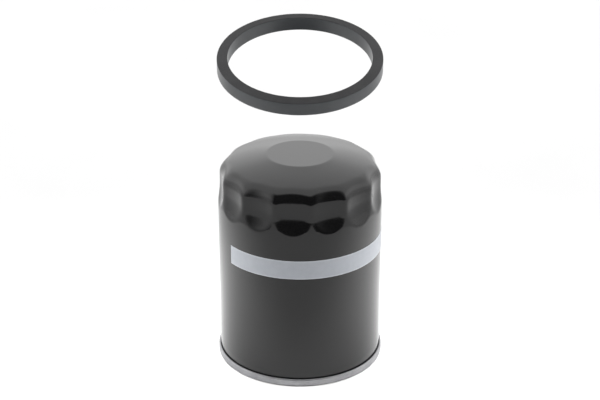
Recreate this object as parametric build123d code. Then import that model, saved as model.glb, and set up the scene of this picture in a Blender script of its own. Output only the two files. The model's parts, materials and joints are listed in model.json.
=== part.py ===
from build123d import *
import math
import os

# Spin-on oil filter, standing on its seam with the dome up. Millimetres, +Z up,
# origin on the axis in the plane that the seam stands on. -Y is the front.

# Driving dimensions: shell
CAN_RADIUS = 38.0
OVERALL_HEIGHT = 100.8
SHEET = 0.35
SEAM_RADIUS = 39.0
SEAM_HEIGHT = 3.5
SEAM_GAP = 0.03
CROWN_RADIUS = 15.4
CROWN_EDGE_RADIUS = 31.8
CROWN_EDGE_DROP = 3.3
CROWN_ARC = 137.0
SHOULDER_ARC = 8.0
NECK_RADIUS = 37.6
NECK_LOW_Z = 78.4
NECK_HIGH_Z = 83.0
WALL_LOW_Z = 4.5
TUCK_HIGH_Z = 4.1
TUCK_LOW_Z = 3.4
HOOK_SHORTFALL = 0.5

# Driving dimensions: wrench flutes round the dome
FLUTE_COUNT = 14
FLUTE_FIRST_ANGLE = -95.0
FLUTE_FLOOR_RADIUS = 36.0
SCOOP_RADIUS = 45.0
SCOOP_OVERRUN = 2.0
FLUTE_FOOT_Z = 76.85
FLUTE_RAMP_TOP_Z = 86.8
FLUTE_SHOULDER_Z = 90.8
FLUTE_SHOULDER_ARC = 8.2
FLUTE_SHOULDER_SWEEP = 60.0

# Driving dimensions: sealing gasket, drawn off the shell and tipped to the front
GASKET_OUTER_RADIUS = 37.3
GASKET_INNER_RADIUS = 32.5
GASKET_OUTER_HEIGHT = 5.95
GASKET_INNER_HEIGHT = 6.5
GASKET_EDGE_RADIUS = 0.2
GASKET_LIFT_Z = 142.3
GASKET_TIP = 13.0

# Driving dimensions: blank label strip
LABEL_LOW_Z = 55.2
LABEL_HIGH_Z = 64.2
LABEL_THICKNESS = 0.1
LABEL_START_ANGLE = -146.0
LABEL_SWEEP = 180.0

# Driving dimensions: cover and threaded base plate
GROOVE_FLOOR_Z = 3.4
GROOVE_INNER_RADIUS = 32.5
COVER_INNER_RADIUS = 27.0
COVER_STEP_Z = 0.8
PLATE_THICKNESS = 3.0
PLATE_RADIUS = 37.2
PLATE_STEP_CLEARANCE = 2.35
COLLAR_RADIUS = 12.2
COLLAR_TOP_Z = 13.5
BOSS_RADIUS = 13.4
BOSS_TOP_Z = 8.4
THREAD_MAJOR_DIAMETER = 20.0
THREAD_PITCH = 1.5
THREAD_DEPTH_SHARE = 0.54127
THREAD_MOUTH_CHAMFER = 1.0
INLET_COUNT = 8
INLET_RADIUS = 3.75
INLET_CIRCLE_RADIUS = 22.0
WELD_COUNT = 12
WELD_RADIUS = 1.4
WELD_PROUD = 0.05
WELD_CIRCLE_RADIUS = 29.5

# Driving dimensions: anti-drain valve
VALVE_ROOT_WALL = 1.2
VALVE_CONE_TOP_RISE = 1.4
VALVE_CONE_LOW_STEP = 0.8
VALVE_LIP_OVERLAP = 2.6
VALVE_LIP_THICKNESS = 0.9
VALVE_LIP_WIDTH = 1.0

# Driving dimensions: filter element
ELEMENT_LOW_Z = 12.0
ELEMENT_HIGH_Z = 85.4
CAP_SHEET = 0.4
CAP_RADIUS = 33.3
CAP_RIM = 4.0
CAP_BEND = 0.6
CAP_HOLE_CLEARANCE = 0.4
BOND_THICKNESS = 1.2
MEDIA_OUTER_RADIUS = 32.2
MEDIA_INNER_RADIUS = 19.0
MEDIA_THICKNESS = 0.5
PLEAT_COUNT = 44
PLEAT_OUTER_HALF_WIDTH = 1.0
PLEAT_INNER_HALF_WIDTH = 0.55
TUBE_OUTER_RADIUS = 17.5
TUBE_SHEET = 0.5
TUBE_HOLE_RADIUS = 2.25
TUBE_HOLE_ROWS = 9
TUBE_HOLES_PER_ROW = 8
CLIP_SHEET = 0.3
CLIP_DEPTH = 4.5
CLIP_END_GAP = 1.0

# Driving dimensions: bypass valve in the upper end cap
SEAT_BORE_RADIUS = 6.8
SEAT_PLATE_THICKNESS = 1.2
SEAT_LIP = 0.5
SEAT_LIP_WIDTH = 1.2
SEAT_CLEARANCE = 0.1
SEAL_THICKNESS = 0.8
POPPET_RADIUS = 9.3
POPPET_THICKNESS = 0.6
POPPET_BUTTON_RADIUS = 3.95
POPPET_BUTTON_RISE = 0.3
STEM_RADIUS = 1.9
STEM_CLEARANCE = 0.05
STEM_END_Z = 67.5
CAGE_SHEET = 0.5
CAGE_RADIUS = 12.5
CAGE_FLANGE_RADIUS = 16.0
CAGE_LOW_Z = 69.5
CAGE_WINDOWS = 4
CAGE_WINDOW_WIDTH = 7.0
CAGE_WINDOW_SHARE = 0.6
BYPASS_COIL_RADIUS = 5.6
BYPASS_WIRE_RADIUS = 0.45
BYPASS_COIL_TURNS = 5

# Driving dimensions: element support spring under the dome
SPRING_COIL_RADIUS = 12.6
SPRING_WIRE_RADIUS = 0.9
SPRING_TURNS = 4
SPRING_LOCATOR_RADIUS = 10.8
SPRING_LOCATOR_HEIGHT = 1.8

# Worked-out values shared by several parts
SHOULDER_ANGLE = math.acos(1 - (NECK_RADIUS - CROWN_EDGE_RADIUS) / SHOULDER_ARC)
SHOULDER_Z = OVERALL_HEIGHT - CROWN_EDGE_DROP - SHOULDER_ARC * math.sin(SHOULDER_ANGLE)
SEAM_PITCH = SHEET + SEAM_GAP
BODY_WALL_RADIUS = SEAM_RADIUS - 3 * SEAM_PITCH
GROOVE_OUTER_RADIUS = SEAM_RADIUS - 4 * SEAM_PITCH - SHEET
THREAD_MINOR_RADIUS = THREAD_MAJOR_DIAMETER / 2 - THREAD_DEPTH_SHARE * THREAD_PITCH
PLATE_INNER_LOW_Z = COVER_STEP_Z + SHEET
PLATE_INNER_HIGH_Z = PLATE_INNER_LOW_Z + PLATE_THICKNESS
PLATE_OUTER_LOW_Z = GROOVE_FLOOR_Z + SHEET
PLATE_OUTER_HIGH_Z = PLATE_OUTER_LOW_Z + PLATE_THICKNESS
GROOVE_WALL_INNER_RADIUS = GROOVE_INNER_RADIUS - SHEET
LOWER_CAP_TOP_Z = ELEMENT_LOW_Z + CAP_SHEET
UPPER_CAP_BOTTOM_Z = ELEMENT_HIGH_Z - CAP_SHEET
MEDIA_LOW_Z = LOWER_CAP_TOP_Z + BOND_THICKNESS
MEDIA_HIGH_Z = UPPER_CAP_BOTTOM_Z - BOND_THICKNESS
SEAT_LOW_Z = UPPER_CAP_BOTTOM_Z - SEAT_PLATE_THICKNESS
SEAL_TOP_Z = SEAT_LOW_Z - SEAT_LIP
POPPET_TOP_Z = SEAL_TOP_Z - SEAL_THICKNESS
POPPET_LOW_Z = POPPET_TOP_Z - POPPET_THICKNESS


def turned(face, sweep=360.0):
    """Turn a face drawn as (radius, height) about the filter's axis."""
    return revolve(Plane.XZ * face, axis=Axis.Z, revolution_arc=sweep)


def ring(low_z, high_z, inner, outer):
    """A plain ring or washer."""
    corners = [(inner, low_z), (outer, low_z), (outer, high_z), (inner, high_z)]
    return turned(make_face(Polyline(*corners, close=True)))


def shifted(points, distance):
    """A polyline moved to its left by a distance, with mitred corners."""
    moved = []
    for index, point in enumerate(points):
        normals = []
        for start, end in ((index - 1, index), (index, index + 1)):
            if start >= 0 and end < len(points):
                run = (Vector(*points[end]) - Vector(*points[start])).normalized()
                normals.append(Vector(-run.Y, run.X))
        middle = sum(normals, Vector(0, 0)).normalized()
        place = Vector(*point) + middle * (distance / middle.dot(normals[0]))
        moved.append((place.X, place.Y))
    return moved


def sheet_section(points, thickness, bend):
    """The section of a bent sheet: its centre line, its gauge and its mean bend radius."""
    half = thickness / 2
    turns = []
    for before, corner, after in zip(points, points[1:], points[2:]):
        first = Vector(*corner) - Vector(*before)
        second = Vector(*after) - Vector(*corner)
        turns.append(math.copysign(half, first.X * second.Y - first.Y * second.X))
    left = shifted(points, half)
    right = shifted(points, -half)
    outline = [
        FilletPolyline(*left, radius=[bend - turn for turn in turns]),
        Line(left[-1], right[-1]),
        FilletPolyline(*right, radius=[bend + turn for turn in turns]),
        Line(right[0], left[0]),
    ]
    return make_face([edge for part in outline for edge in part.edges()])


def around(shape, count, first_angle=0.0):
    """Copies of a shape spread evenly about the filter's axis."""
    return [Rot(0, 0, first_angle + 360.0 * index / count) * shape for index in range(count)]


def shell_blank(inset):
    """The dome, neck and wall before fluting, drawn in by an inset, down to the seam."""
    top_z = OVERALL_HEIGHT - inset
    neck_radius = NECK_RADIUS - inset
    wall_radius = CAN_RADIUS - inset
    centre = Vector(NECK_RADIUS - SHOULDER_ARC, SHOULDER_Z)
    arc_radius = SHOULDER_ARC - inset
    crown_edge = centre + Vector(math.cos(SHOULDER_ANGLE), math.sin(SHOULDER_ANGLE)) * arc_radius
    halfway = SHOULDER_ANGLE / 2
    shoulder_mid = centre + Vector(math.cos(halfway), math.sin(halfway)) * arc_radius
    neck_top = Vector(neck_radius, SHOULDER_Z)
    crown_start = Vector(CROWN_RADIUS, top_z)
    chord = crown_edge - crown_start
    sag = CROWN_ARC - math.sqrt(CROWN_ARC**2 - (chord.length / 2) ** 2)
    crown_mid = (crown_start + crown_edge) * 0.5 + Vector(-chord.Y, chord.X).normalized() * sag
    outline = [
        Line((0, top_z), crown_start),
        ThreePointArc(crown_start, crown_mid, crown_edge),
        ThreePointArc(crown_edge, shoulder_mid, neck_top),
        Polyline(neck_top, (neck_radius, NECK_HIGH_Z), (wall_radius, NECK_LOW_Z),
                 (wall_radius, WALL_LOW_Z), (0, WALL_LOW_Z), (0, top_z)),
    ]
    return turned(make_face([edge for part in outline for edge in part.edges()]))


def flute_scoop(growth):
    """The round tool that scoops one flute, grown to leave the sheet's gauge behind it."""
    distance = FLUTE_FLOOR_RADIUS + SCOOP_RADIUS
    wall_radius = SCOOP_RADIUS + growth
    foot_depth = CAN_RADIUS - FLUTE_FLOOR_RADIUS
    foot_height = FLUTE_RAMP_TOP_Z - FLUTE_FOOT_Z
    foot_arc = (foot_height**2 + foot_depth**2) / (2 * foot_depth)
    foot_centre = Vector(SCOOP_RADIUS - foot_arc, FLUTE_RAMP_TOP_Z)
    foot_radius = foot_arc + growth
    foot_sweep = math.asin((foot_height + SCOOP_OVERRUN) / foot_radius)
    foot_mid = foot_centre + Vector(math.cos(foot_sweep / 2), -math.sin(foot_sweep / 2)) * foot_radius
    foot_end = foot_centre + Vector(math.cos(foot_sweep), -math.sin(foot_sweep)) * foot_radius
    ramp_top = Vector(wall_radius, FLUTE_RAMP_TOP_Z)
    wall_top = Vector(wall_radius, FLUTE_SHOULDER_Z)
    arc_centre = Vector(SCOOP_RADIUS + FLUTE_SHOULDER_ARC, FLUTE_SHOULDER_Z)
    arc_radius = FLUTE_SHOULDER_ARC - growth
    sweep = math.radians(FLUTE_SHOULDER_SWEEP)
    arc_mid = arc_centre + Vector(-math.cos(sweep / 2), math.sin(sweep / 2)) * arc_radius
    arc_end = arc_centre + Vector(-math.cos(sweep), math.sin(sweep)) * arc_radius
    lip_end = arc_end + Vector(math.sin(sweep), math.cos(sweep)) * SHOULDER_ARC
    outline = [
        Polyline((0, lip_end.Y), (0, foot_end.Y), foot_end),
        ThreePointArc(foot_end, foot_mid, ramp_top),
        Line(ramp_top, wall_top),
        ThreePointArc(wall_top, arc_mid, arc_end),
        Polyline(arc_end, lip_end, (0, lip_end.Y)),
    ]
    tool = turned(make_face([edge for part in outline for edge in part.edges()]))
    return Pos(distance, 0, 0) * tool


def can():
    """Drawn steel can: flutes scooped into the dome, wall tucked in and hooked at the seam."""
    outside = shell_blank(0.0) - around(flute_scoop(0.0), FLUTE_COUNT, FLUTE_FIRST_ANGLE)
    inside = shell_blank(SHEET) - around(flute_scoop(SHEET), FLUTE_COUNT, FLUTE_FIRST_ANGLE)
    wall_radius = CAN_RADIUS - SHEET / 2
    skirt_radius = BODY_WALL_RADIUS - SHEET / 2
    hook_radius = SEAM_RADIUS - SEAM_PITCH - SHEET / 2
    hook_low_z = SEAM_PITCH + SHEET + SHEET / 2
    hook_high_z = SEAM_HEIGHT - SEAM_PITCH - HOOK_SHORTFALL
    skirt = sheet_section(
        [(wall_radius, WALL_LOW_Z), (wall_radius, TUCK_HIGH_Z), (skirt_radius, TUCK_LOW_Z),
         (skirt_radius, hook_low_z), (hook_radius, hook_low_z), (hook_radius, hook_high_z)],
        SHEET, SHEET / 2)
    return outside - inside + turned(skirt)


def seam_cover():
    """Cover sheet: curled round the can's hook, down and up again to form the gasket groove."""
    hook_radius = SEAM_RADIUS - 2 * SEAM_PITCH - SHEET / 2
    outer_radius = SEAM_RADIUS - SHEET / 2
    groove_radius = GROOVE_OUTER_RADIUS + SHEET / 2
    step_radius = GROOVE_INNER_RADIUS - SHEET / 2
    section = sheet_section(
        [(hook_radius, SHEET + SEAM_PITCH + SHEET + SEAM_GAP), (hook_radius, SEAM_HEIGHT - SHEET / 2),
         (outer_radius, SEAM_HEIGHT - SHEET / 2), (outer_radius, SHEET / 2), (groove_radius, SHEET / 2),
         (groove_radius, GROOVE_FLOOR_Z + SHEET / 2), (step_radius, GROOVE_FLOOR_Z + SHEET / 2),
         (step_radius, COVER_STEP_Z + SHEET / 2), (COVER_INNER_RADIUS, COVER_STEP_Z + SHEET / 2)],
        SHEET, SHEET / 2)
    weld_hole = Pos(WELD_CIRCLE_RADIUS, 0, 0) * Cylinder(WELD_RADIUS, 4 * SEAM_HEIGHT)
    return turned(section) - around(weld_hole, WELD_COUNT)


def seam_sealing_compound():
    """Bead of compound between the bottom of the can's hook and the cover's curl."""
    return ring(SHEET, SHEET + SEAM_PITCH, BODY_WALL_RADIUS - SHEET, SEAM_RADIUS - SEAM_PITCH)


def spot_welds():
    """Weld nuggets that hold the cover to the base plate."""
    height = SHEET + WELD_PROUD
    nugget = Pos(WELD_CIRCLE_RADIUS, 0, PLATE_INNER_LOW_Z - height / 2) * Cylinder(WELD_RADIUS, height)
    return Compound(around(nugget, WELD_COUNT))


def threaded_base_plate():
    """Thick stepped plate with a threaded collar and a ring of oil inlets."""
    mouth_radius = THREAD_MINOR_RADIUS + THREAD_MOUTH_CHAMFER
    section = make_face(Polyline(
        (mouth_radius, PLATE_INNER_LOW_Z),
        (GROOVE_WALL_INNER_RADIUS, PLATE_INNER_LOW_Z),
        (GROOVE_WALL_INNER_RADIUS, PLATE_OUTER_LOW_Z),
        (PLATE_RADIUS, PLATE_OUTER_LOW_Z),
        (PLATE_RADIUS, PLATE_OUTER_HIGH_Z),
        (GROOVE_WALL_INNER_RADIUS - PLATE_STEP_CLEARANCE / 4, PLATE_OUTER_HIGH_Z),
        (GROOVE_WALL_INNER_RADIUS - PLATE_STEP_CLEARANCE, PLATE_INNER_HIGH_Z),
        (BOSS_RADIUS, PLATE_INNER_HIGH_Z),
        (BOSS_RADIUS, BOSS_TOP_Z),
        (COLLAR_RADIUS, BOSS_TOP_Z),
        (COLLAR_RADIUS, COLLAR_TOP_Z),
        (mouth_radius, COLLAR_TOP_Z),
        (THREAD_MINOR_RADIUS, COLLAR_TOP_Z - THREAD_MOUTH_CHAMFER),
        (THREAD_MINOR_RADIUS, PLATE_INNER_LOW_Z + THREAD_MOUTH_CHAMFER),
        close=True))
    inlet = Pos(INLET_CIRCLE_RADIUS, 0, 0) * Cylinder(INLET_RADIUS, 4 * PLATE_OUTER_HIGH_Z)
    return turned(section) - around(inlet, INLET_COUNT, 180.0 / INLET_COUNT)


def sealing_gasket():
    """Square-cut rubber ring, drawn off above the dome and tipped towards the front."""
    section = make_face(Polyline(
        (GASKET_INNER_RADIUS, 0), (GASKET_OUTER_RADIUS, 0),
        (GASKET_OUTER_RADIUS, GASKET_OUTER_HEIGHT), (GASKET_INNER_RADIUS, GASKET_INNER_HEIGHT),
        close=True))
    section = fillet(section.vertices(), GASKET_EDGE_RADIUS)
    return Pos(0, 0, GASKET_LIFT_Z) * Rot(GASKET_TIP, 0, 0) * turned(section)


def label_strip():
    """Thin blank strip wrapped half way round the can's wall."""
    section = make_face(Polyline(
        (CAN_RADIUS, LABEL_LOW_Z), (CAN_RADIUS + LABEL_THICKNESS, LABEL_LOW_Z),
        (CAN_RADIUS + LABEL_THICKNESS, LABEL_HIGH_Z), (CAN_RADIUS, LABEL_HIGH_Z), close=True))
    return Rot(0, 0, LABEL_START_ANGLE) * turned(section, LABEL_SWEEP)


def anti_drain_valve():
    """Silicone diaphragm: a thick root round the collar and a cone that covers the inlets."""
    root_inner = COLLAR_RADIUS + STEM_CLEARANCE
    root_outer = BOSS_RADIUS + VALVE_ROOT_WALL
    lip_outer = INLET_CIRCLE_RADIUS + INLET_RADIUS + VALVE_LIP_OVERLAP
    section = make_face(Polyline(
        (root_inner, BOSS_TOP_Z),
        (root_inner, ELEMENT_LOW_Z),
        (root_outer, ELEMENT_LOW_Z),
        (root_outer, BOSS_TOP_Z + VALVE_CONE_TOP_RISE),
        (lip_outer, PLATE_INNER_HIGH_Z + VALVE_LIP_THICKNESS),
        (lip_outer, PLATE_INNER_HIGH_Z),
        (lip_outer - VALVE_LIP_WIDTH, PLATE_INNER_HIGH_Z),
        (root_outer - VALVE_CONE_LOW_STEP, BOSS_TOP_Z),
        close=True))
    return turned(section)


def end_cap(points):
    """Pressed steel end cap of the element, from its section's centre line."""
    return turned(sheet_section(points, CAP_SHEET, CAP_BEND))


def lower_end_cap():
    """Lower cap: its hole locates the element on the collar."""
    middle_z = ELEMENT_LOW_Z + CAP_SHEET / 2
    rim_radius = CAP_RADIUS - CAP_SHEET / 2
    hole_radius = COLLAR_RADIUS + CAP_HOLE_CLEARANCE
    return end_cap([(hole_radius, middle_z), (rim_radius, middle_z), (rim_radius, middle_z + CAP_RIM)])


def upper_end_cap():
    """Upper cap: its turned-up neck locates the support spring over the bypass seat."""
    middle_z = ELEMENT_HIGH_Z - CAP_SHEET / 2
    rim_radius = CAP_RADIUS - CAP_SHEET / 2
    neck_radius = SPRING_LOCATOR_RADIUS - CAP_SHEET / 2
    return end_cap([(neck_radius, middle_z + SPRING_LOCATOR_HEIGHT), (neck_radius, middle_z),
                    (rim_radius, middle_z), (rim_radius, middle_z - CAP_RIM)])


def lower_cap_bond():
    """Adhesive ring between the lower cap and the pleats."""
    return ring(LOWER_CAP_TOP_Z, MEDIA_LOW_Z, TUBE_OUTER_RADIUS, CAP_RADIUS - CAP_SHEET - CAP_BEND)


def upper_cap_bond():
    """Adhesive ring between the pleats and the upper cap."""
    return ring(MEDIA_HIGH_Z, UPPER_CAP_BOTTOM_Z, TUBE_OUTER_RADIUS, CAP_RADIUS - CAP_SHEET - CAP_BEND)


def pleat_line(growth):
    """Corner points of the pleats' outline, moved outwards by a growth."""
    pitch = 2 * math.pi / PLEAT_COUNT
    outer_half = PLEAT_OUTER_HALF_WIDTH + growth
    inner_half = PLEAT_INNER_HALF_WIDTH - growth
    points = []
    for index in range(PLEAT_COUNT):
        angle = index * pitch
        outer = MEDIA_OUTER_RADIUS - MEDIA_THICKNESS / 2 + growth
        inner = MEDIA_INNER_RADIUS + MEDIA_THICKNESS / 2 + growth
        corners = [
            (outer, angle - outer_half / outer),
            (outer, angle + outer_half / outer),
            (inner, angle + pitch / 2 - inner_half / inner),
            (inner, angle + pitch / 2 + inner_half / inner),
        ]
        points += [(radius * math.cos(turn), radius * math.sin(turn)) for radius, turn in corners]
    return points


def pleated_media():
    """Pleated filter paper, one closed ring of folds."""
    outside = make_face(Polyline(*pleat_line(MEDIA_THICKNESS / 2), close=True))
    inside = make_face(Polyline(*pleat_line(-MEDIA_THICKNESS / 2), close=True))
    return Pos(0, 0, MEDIA_LOW_Z) * extrude(outside - inside, MEDIA_HIGH_Z - MEDIA_LOW_Z)


def media_seam_clip():
    """Folded steel clip that joins the two ends of the paper over one pleat."""
    height = MEDIA_HIGH_Z - MEDIA_LOW_Z - 2 * CLIP_END_GAP
    gap = 2 * PLEAT_OUTER_HALF_WIDTH + MEDIA_THICKNESS
    depth = CLIP_DEPTH + CLIP_SHEET
    centre_x = MEDIA_OUTER_RADIUS + CLIP_SHEET - depth / 2
    block = Box(depth, gap + 2 * CLIP_SHEET, height)
    slot = Pos(-CLIP_SHEET, 0, 0) * Box(depth, gap, height)
    return Pos(centre_x, 0, (MEDIA_LOW_Z + MEDIA_HIGH_Z) / 2) * (block - slot)


def center_tube():
    """Perforated steel tube that holds the pleats up from inside."""
    tube = ring(LOWER_CAP_TOP_Z, UPPER_CAP_BOTTOM_Z, TUBE_OUTER_RADIUS - TUBE_SHEET, TUBE_OUTER_RADIUS)
    length = UPPER_CAP_BOTTOM_Z - LOWER_CAP_TOP_Z
    spacing = length / (TUBE_HOLE_ROWS + 1)
    drill = Pos(TUBE_OUTER_RADIUS, 0, 0) * Rot(0, 90, 0) * Cylinder(TUBE_HOLE_RADIUS, TUBE_OUTER_RADIUS)
    holes = []
    for row in range(TUBE_HOLE_ROWS):
        height = LOWER_CAP_TOP_Z + spacing * (row + 1)
        offset = 180.0 / TUBE_HOLES_PER_ROW * (row % 2)
        holes += around(Pos(0, 0, height) * drill, TUBE_HOLES_PER_ROW, offset)
    return tube - holes


def bypass_seat():
    """Steel seat plate of the bypass valve, with a raised sealing lip."""
    lip_outer = SEAT_BORE_RADIUS + SEAT_LIP_WIDTH
    plate_outer = TUBE_OUTER_RADIUS - TUBE_SHEET - SEAT_CLEARANCE
    section = make_face(Polyline(
        (SEAT_BORE_RADIUS, SEAL_TOP_Z), (lip_outer, SEAL_TOP_Z), (lip_outer, SEAT_LOW_Z),
        (plate_outer, SEAT_LOW_Z), (plate_outer, UPPER_CAP_BOTTOM_Z),
        (SEAT_BORE_RADIUS, UPPER_CAP_BOTTOM_Z), close=True))
    return turned(section)


def bypass_cage():
    """Slotted cup under the seat that carries the spring and guides the stem."""
    middle_z = SEAT_LOW_Z - CAGE_SHEET / 2
    wall = CAGE_RADIUS - CAGE_SHEET / 2
    section = sheet_section(
        [(CAGE_FLANGE_RADIUS, middle_z), (wall, middle_z), (wall, CAGE_LOW_Z + CAGE_SHEET / 2),
         (STEM_RADIUS + STEM_CLEARANCE, CAGE_LOW_Z + CAGE_SHEET / 2)],
        CAGE_SHEET, CAP_BEND)
    window_height = (SEAT_LOW_Z - CAGE_LOW_Z) * CAGE_WINDOW_SHARE
    window_z = (SEAT_LOW_Z + CAGE_LOW_Z) / 2
    window = Pos(CAGE_RADIUS, 0, window_z) * Box(CAGE_RADIUS, CAGE_WINDOW_WIDTH, window_height)
    return turned(section) - around(window, CAGE_WINDOWS)


def bypass_poppet():
    """Valve disc with a centring button above and a guide stem below."""
    button_top_z = SEAL_TOP_Z + POPPET_BUTTON_RISE
    section = make_face(Polyline(
        (0, STEM_END_Z), (STEM_RADIUS, STEM_END_Z), (STEM_RADIUS, POPPET_LOW_Z),
        (POPPET_RADIUS, POPPET_LOW_Z), (POPPET_RADIUS, POPPET_TOP_Z),
        (POPPET_BUTTON_RADIUS, POPPET_TOP_Z), (POPPET_BUTTON_RADIUS, button_top_z),
        (0, button_top_z), close=True))
    return turned(section)


def bypass_seal():
    """Rubber washer between the poppet's disc and the seat's lip."""
    return ring(POPPET_TOP_Z, SEAL_TOP_Z, POPPET_BUTTON_RADIUS, POPPET_RADIUS)


def coil(low_z, high_z, coil_radius, wire_radius, turns):
    """Round-wire coil spring that fills the space from one height to another."""
    height = high_z - low_z - 2 * wire_radius
    path = Helix(pitch=height / turns, height=height, radius=coil_radius)
    section = Plane(origin=path @ 0, z_dir=path % 0) * Circle(wire_radius)
    return Pos(0, 0, low_z + wire_radius) * sweep(section, path=path, is_frenet=True)


def bypass_spring():
    """Spring that holds the poppet on its seat."""
    cage_floor_z = CAGE_LOW_Z + CAGE_SHEET
    return coil(cage_floor_z, POPPET_LOW_Z, BYPASS_COIL_RADIUS, BYPASS_WIRE_RADIUS, BYPASS_COIL_TURNS)


def element_spring():
    """Support spring that presses the element down from under the dome."""
    under_dome_z = OVERALL_HEIGHT - SHEET
    return coil(ELEMENT_HIGH_Z, under_dome_z, SPRING_COIL_RADIUS, SPRING_WIRE_RADIUS, SPRING_TURNS)


SUB_PARTS = [
    can, seam_cover, seam_sealing_compound, spot_welds, threaded_base_plate, sealing_gasket, label_strip,
    anti_drain_valve, lower_end_cap, upper_end_cap, lower_cap_bond, upper_cap_bond, pleated_media,
    media_seam_clip, center_tube, bypass_seat, bypass_cage, bypass_poppet, bypass_seal, bypass_spring,
    element_spring,
]

os.makedirs("parts", exist_ok=True)
for sub_part in SUB_PARTS:
    export_step(sub_part(), f"parts/{sub_part.__name__}.step")
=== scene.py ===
import json
import math

import bmesh
import bpy
import numpy as np
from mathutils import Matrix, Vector


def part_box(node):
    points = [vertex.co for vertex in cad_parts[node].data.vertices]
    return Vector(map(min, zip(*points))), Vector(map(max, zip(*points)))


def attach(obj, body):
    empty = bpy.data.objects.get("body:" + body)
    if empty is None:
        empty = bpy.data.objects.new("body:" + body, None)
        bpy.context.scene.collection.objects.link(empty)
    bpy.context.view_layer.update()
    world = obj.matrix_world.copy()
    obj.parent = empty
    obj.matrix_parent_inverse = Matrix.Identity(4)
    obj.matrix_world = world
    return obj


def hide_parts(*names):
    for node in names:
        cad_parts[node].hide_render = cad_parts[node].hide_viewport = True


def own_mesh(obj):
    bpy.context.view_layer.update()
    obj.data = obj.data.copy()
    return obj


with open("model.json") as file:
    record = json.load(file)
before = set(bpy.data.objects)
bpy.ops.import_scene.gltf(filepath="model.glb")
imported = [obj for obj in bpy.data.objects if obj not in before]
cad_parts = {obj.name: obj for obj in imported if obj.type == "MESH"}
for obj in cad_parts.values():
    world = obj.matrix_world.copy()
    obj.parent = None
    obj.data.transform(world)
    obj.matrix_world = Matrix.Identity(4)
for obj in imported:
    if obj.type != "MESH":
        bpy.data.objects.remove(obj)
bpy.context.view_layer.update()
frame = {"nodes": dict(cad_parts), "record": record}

# The looks of a spin-on oil filter that stands on its rolled seam, dome up, with its
# sealing gasket drawn off above. Sizes below are millimetres; mesh points are metres.
MM = 0.001
TURN = 2 * math.pi


# ---------------------------------------------------------------- sizes from the frame

def bottom(node):
    """Height of the low face of a CAD node's box, in millimetres."""
    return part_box(node)[0][2] / MM


def top(node):
    """Height of the high face of a CAD node's box, in millimetres."""
    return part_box(node)[1][2] / MM


def half_width(node):
    """How far a CAD node's box reaches from the axis, in millimetres."""
    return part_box(node)[1][0] / MM


CAN_TOP = top("can")
SEAM_RADIUS = half_width("seam_cover")
LABEL_LOW = bottom("label_strip")
LABEL_HIGH = top("label_strip")
PLATE_LOW = bottom("threaded_base_plate")
PLATE_TOP = top("threaded_base_plate")
PLATE_RADIUS = half_width("threaded_base_plate")
WELD_LOW = bottom("spot_welds")
WELD_HIGH = top("spot_welds")
VALVE_LOW = bottom("anti_drain_valve")
VALVE_TOP = top("anti_drain_valve")
LIP_RADIUS = half_width("anti_drain_valve")
MEDIA_LOW = bottom("pleated_media")
MEDIA_HIGH = top("pleated_media")
CAGE_FLOOR = bottom("bypass_spring")
POPPET_UNDERSIDE = top("bypass_spring")
ELEMENT_TOP = bottom("element_spring")
SPRING_TOP = top("element_spring")

# ---------------------------------------------------------------- driving sizes

SHEET = 0.35
CAN_RADIUS = 38.0
FLAT_RADII = (0.5, 2.0, 4.0, 6.5, 9.0, 11.5, 13.5, 14.6, 15.1, 15.3)
CROWN_RADIUS = 15.4
CROWN_START_SLOPE = math.radians(9.0)
CROWN_EDGE = (31.8, CAN_TOP - 3.3)
CROWN_END_SLOPE = math.radians(16.0)
NECK_RADIUS = 37.6
NECK_LOW = 78.4
NECK_HIGH = 83.0
SHOULDER_ARC = (NECK_RADIUS - CROWN_EDGE[0]) / (1 - math.sin(CROWN_END_SLOPE))
SHOULDER_Z = CROWN_EDGE[1] - SHOULDER_ARC * math.cos(CROWN_END_SLOPE)

FLUTES = 14
FLUTE_FIRST_ANGLE = math.radians(-95.0)
FLUTE_FLOOR_RADIUS = 36.0
SCOOP_RADIUS = 45.0
FLUTE_FOOT_Z = 76.85
FLUTE_RUN_OUT = 1.5
FLUTE_RAMP_TOP_Z = 86.8
FLUTE_SHOULDER_Z = 90.8
FLUTE_SHOULDER_ARC = 8.2
FLUTE_SHOULDER_SWEEP = math.radians(60.0)
FLUTE_FOOT_DEPTH = CAN_RADIUS - FLUTE_FLOOR_RADIUS
FLUTE_FOOT_HEIGHT = FLUTE_RAMP_TOP_Z - FLUTE_FOOT_Z
FLUTE_FOOT_ARC = (FLUTE_FOOT_HEIGHT**2 + FLUTE_FOOT_DEPTH**2) / (2 * FLUTE_FOOT_DEPTH)
FOOT_SOFTENING = 0.4
CREST_SOFTENING = 0.7
DEEPEST_PRESS = 9.0

SEAM_HEIGHT = 3.5
SEAM_PITCH = 0.38
HOOK_SHORTFALL = 0.5
HOOK_END_Z = 1.3
GROOVE_FLOOR_Z = 3.4
GROOVE_INNER_RADIUS = 32.5
FLANGE_Z = 0.8
FLANGE_INNER_RADIUS = 27.0

GASKET_OUTER = 37.3
GASKET_OUTER_HEIGHT = 5.95
GASKET_INNER = 32.5
GASKET_INNER_HEIGHT = 6.5
GASKET_EDGE = 0.22
GASKET_LIFT = 142.3
GASKET_TIP = math.radians(13.0)

LABEL_THICKNESS = 0.1
LABEL_START = math.radians(-146.0)
LABEL_SWEEP = math.radians(180.0)
GLUE_GAP = 0.004

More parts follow.
